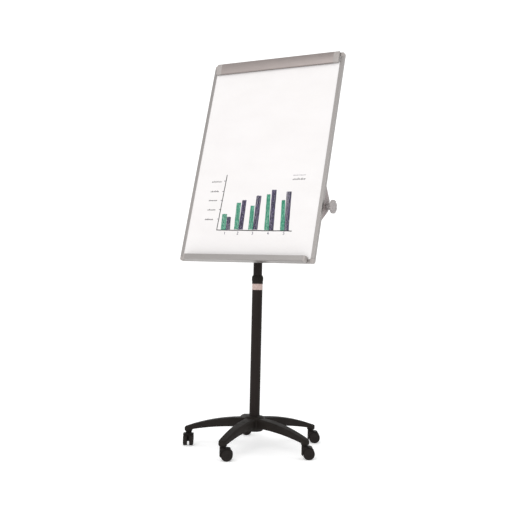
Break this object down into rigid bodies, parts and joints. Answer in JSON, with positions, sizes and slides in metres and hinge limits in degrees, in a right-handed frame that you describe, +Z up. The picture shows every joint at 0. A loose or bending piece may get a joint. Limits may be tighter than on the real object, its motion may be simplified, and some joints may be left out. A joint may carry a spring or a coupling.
{
  "type": "flipchart easel",
  "caption": "Mobile flipchart easel: framed dry-wipe board with a paper clamp and pen tray, tilting on a height-adjustable mast over a star base with twin-wheel casters.",
  "frame": {"origin": "on the floor, under the axis of the mast", "axes": "+Z up along the mast, -Y towards the front of the board, +X to the right seen from the front; the tilt axis is parallel to X"},
  "size_m": [0.7362, 0.6367, 1.8342],
  "materials": {
    "frame_aluminium": "satin anodised",
    "clamp_aluminium": "satin anodised",
    "white_enamel": "gloss white dry-wipe surface",
    "core_board": "honeycomb board",
    "galvanised_sheet": "galvanised",
    "light_grey_plastic": "satin",
    "knob_plastic": "satin",
    "grey_paint": "fine textured powder coat",
    "black_paint": "satin powder coat",
    "black_plastic": "satin",
    "caster_plastic": "satin",
    "wheel_plastic": "satin nylon",
    "zinc_steel": "zinc plated",
    "spring_steel": "bright",
    "grip_rubber": "matt",
    "friction_pad": "matt",
    "label_paper": "matt"
  },
  "bodies": {
    "base": {"star_base": "black_plastic", "base_bolt": "zinc_steel", "foot_plug": "zinc_steel", "lower_mast": "black_paint", "mast_ferrule": "black_plastic", "clamp_bush": "black_plastic", "label_band": "label_paper", "caster_stems": "zinc_steel"},
    "lock_collar": {"lock_collar": "black_plastic"},
    "upper_mast": {"upper_mast": "black_paint", "head_tube": "black_paint", "tube_plugs": "zinc_steel", "friction_washers": "friction_pad", "pivot_bolt": "zinc_steel", "glide_bush": "black_plastic"},
    "board": {"frame_left": "frame_aluminium", "frame_right": "frame_aluminium", "frame_bottom": "frame_aluminium", "frame_top": "frame_aluminium", "corner_pieces": "light_grey_plastic", "board_face": "white_enamel", "board_core": "core_board", "board_back": "galvanised_sheet", "bracket_left": "grey_paint", "bracket_right": "grey_paint", "board_screws": "zinc_steel", "pen_tray": "frame_aluminium", "tray_end_caps": "light_grey_plastic", "clamp_rail": "clamp_aluminium", "hinge_pins": "zinc_steel"},
    "clamp": {"clamp_bar": "clamp_aluminium", "clamp_end_caps": "light_grey_plastic", "grip_strip": "grip_rubber", "clamp_springs": "spring_steel"},
    "hook_left": {"hook_left": "black_plastic"},
    "hook_right": {"hook_right": "black_plastic"},
    "tilt_knob": {"tilt_knob": "knob_plastic", "tilt_knob_stud": "zinc_steel"},
    "caster_1": {"caster_1_hood": "caster_plastic", "caster_1_axle": "zinc_steel"},
    "caster_1_wheel_left": {"caster_1_wheel_left": "wheel_plastic"},
    "caster_1_wheel_right": {"caster_1_wheel_right": "wheel_plastic"},
    "caster_2": {"caster_2_hood": "caster_plastic", "caster_2_axle": "zinc_steel"},
    "caster_2_wheel_left": {"caster_2_wheel_left": "wheel_plastic"},
    "caster_2_wheel_right": {"caster_2_wheel_right": "wheel_plastic"},
    "caster_3": {"caster_3_hood": "caster_plastic", "caster_3_axle": "zinc_steel"},
    "caster_3_wheel_left": {"caster_3_wheel_left": "wheel_plastic"},
    "caster_3_wheel_right": {"caster_3_wheel_right": "wheel_plastic"},
    "caster_4": {"caster_4_hood": "caster_plastic", "caster_4_axle": "zinc_steel"},
    "caster_4_wheel_left": {"caster_4_wheel_left": "wheel_plastic"},
    "caster_4_wheel_right": {"caster_4_wheel_right": "wheel_plastic"},
    "caster_5": {"caster_5_hood": "caster_plastic", "caster_5_axle": "zinc_steel"},
    "caster_5_wheel_left": {"caster_5_wheel_left": "wheel_plastic"},
    "caster_5_wheel_right": {"caster_5_wheel_right": "wheel_plastic"}
  },
  "joints": [
    {"name": "height_slide", "type": "slide", "parent": "base", "child": "upper_mast", "axis": [0, 0, 1], "range_m": [-0.25, 0.25]},
    {"name": "collar_twist", "type": "hinge", "parent": "base", "child": "lock_collar", "pos_m": [0, 0, 0.785], "axis": [0, 0, 1], "range_deg": [0, 120]},
    {"name": "board_tilt", "type": "hinge", "parent": "upper_mast", "child": "board", "pos_m": [0, 0, 1.11], "axis": [-1, 0, 0], "range_deg": [-15.8, 74.2]},
    {"name": "tilt_knob_turn", "type": "hinge", "parent": "upper_mast", "child": "tilt_knob", "pos_m": [0.376, 0, 1.11], "axis": [1, 0, 0], "range_deg": [0, 360]},
    {"name": "clamp_open", "type": "hinge", "parent": "board", "child": "clamp", "pos_m": [0, 0.13609, 1.826], "axis": [-1, 0, 0], "range_deg": [0, 28], "stiffness_Nm_per_rad": 0.6, "springref_deg": -34.38},
    {"name": "hook_left_slide", "type": "slide", "parent": "board", "child": "hook_left", "axis": [1, 0, 0], "range_m": [-0.14, 0.04]},
    {"name": "hook_right_slide", "type": "slide", "parent": "board", "child": "hook_right", "axis": [1, 0, 0], "range_m": [-0.04, 0.14]},
    {"name": "caster_1_swivel", "type": "hinge", "parent": "base", "child": "caster_1", "pos_m": [0.02309, -0.30713, 0.055], "axis": [0, 0, 1], "continuous": true},
    {"name": "caster_1_wheel_left_roll", "type": "hinge", "parent": "caster_1", "child": "caster_1_wheel_left", "pos_m": [0.03143, -0.28558, 0.026], "axis": [-0.5, 0.866, 0], "continuous": true},
    {"name": "caster_1_wheel_right_roll", "type": "hinge", "parent": "caster_1", "child": "caster_1_wheel_right", "pos_m": [0.04593, -0.31069, 0.026], "axis": [-0.5, 0.866, 0], "continuous": true},
    {"name": "caster_2_swivel", "type": "hinge", "parent": "base", "child": "caster_2", "pos_m": [0.29924, -0.07295, 0.055], "axis": [0, 0, 1], "continuous": true},
    {"name": "caster_2_wheel_left_roll", "type": "hinge", "parent": "caster_2", "child": "caster_2_wheel_left", "pos_m": [0.30758, -0.05139, 0.026], "axis": [-0.5, 0.866, 0], "continuous": true},
    {"name": "caster_2_wheel_right_roll", "type": "hinge", "parent": "caster_2", "child": "caster_2_wheel_right", "pos_m": [0.32208, -0.0765, 0.026], "axis": [-0.5, 0.866, 0], "continuous": true},
    {"name": "caster_3_swivel", "type": "hinge", "parent": "base", "child": "caster_3", "pos_m": [0.16184, 0.26205, 0.055], "axis": [0, 0, 1], "continuous": true},
    {"name": "caster_3_wheel_left_roll", "type": "hinge", "parent": "caster_3", "child": "caster_3_wheel_left", "pos_m": [0.17018, 0.28361, 0.026], "axis": [-0.5, 0.866, 0], "continuous": true},
    {"name": "caster_3_wheel_right_roll", "type": "hinge", "parent": "caster_3", "child": "caster_3_wheel_right", "pos_m": [0.18468, 0.25849, 0.026], "axis": [-0.5, 0.866, 0], "continuous": true},
    {"name": "caster_4_swivel", "type": "hinge", "parent": "base", "child": "caster_4", "pos_m": [-0.19921, 0.2349, 0.055], "axis": [0, 0, 1], "continuous": true},
    {"name": "caster_4_wheel_left_roll", "type": "hinge", "parent": "caster_4", "child": "caster_4_wheel_left", "pos_m": [-0.19087, 0.25646, 0.026], "axis": [-0.5, 0.866, 0], "continuous": true},
    {"name": "caster_4_wheel_right_roll", "type": "hinge", "parent": "caster_4", "child": "caster_4_wheel_right", "pos_m": [-0.17637, 0.23134, 0.026], "axis": [-0.5, 0.866, 0], "continuous": true},
    {"name": "caster_5_swivel", "type": "hinge", "parent": "base", "child": "caster_5", "pos_m": [-0.28497, -0.11687, 0.055], "axis": [0, 0, 1], "continuous": true},
    {"name": "caster_5_wheel_left_roll", "type": "hinge", "parent": "caster_5", "child": "caster_5_wheel_left", "pos_m": [-0.26341, -0.12521, 0.026], "axis": [0.866, 0.5, 0], "continuous": true},
    {"name": "caster_5_wheel_right_roll", "type": "hinge", "parent": "caster_5", "child": "caster_5_wheel_right", "pos_m": [-0.28852, -0.13971, 0.026], "axis": [0.866, 0.5, 0], "continuous": true}
  ]
}
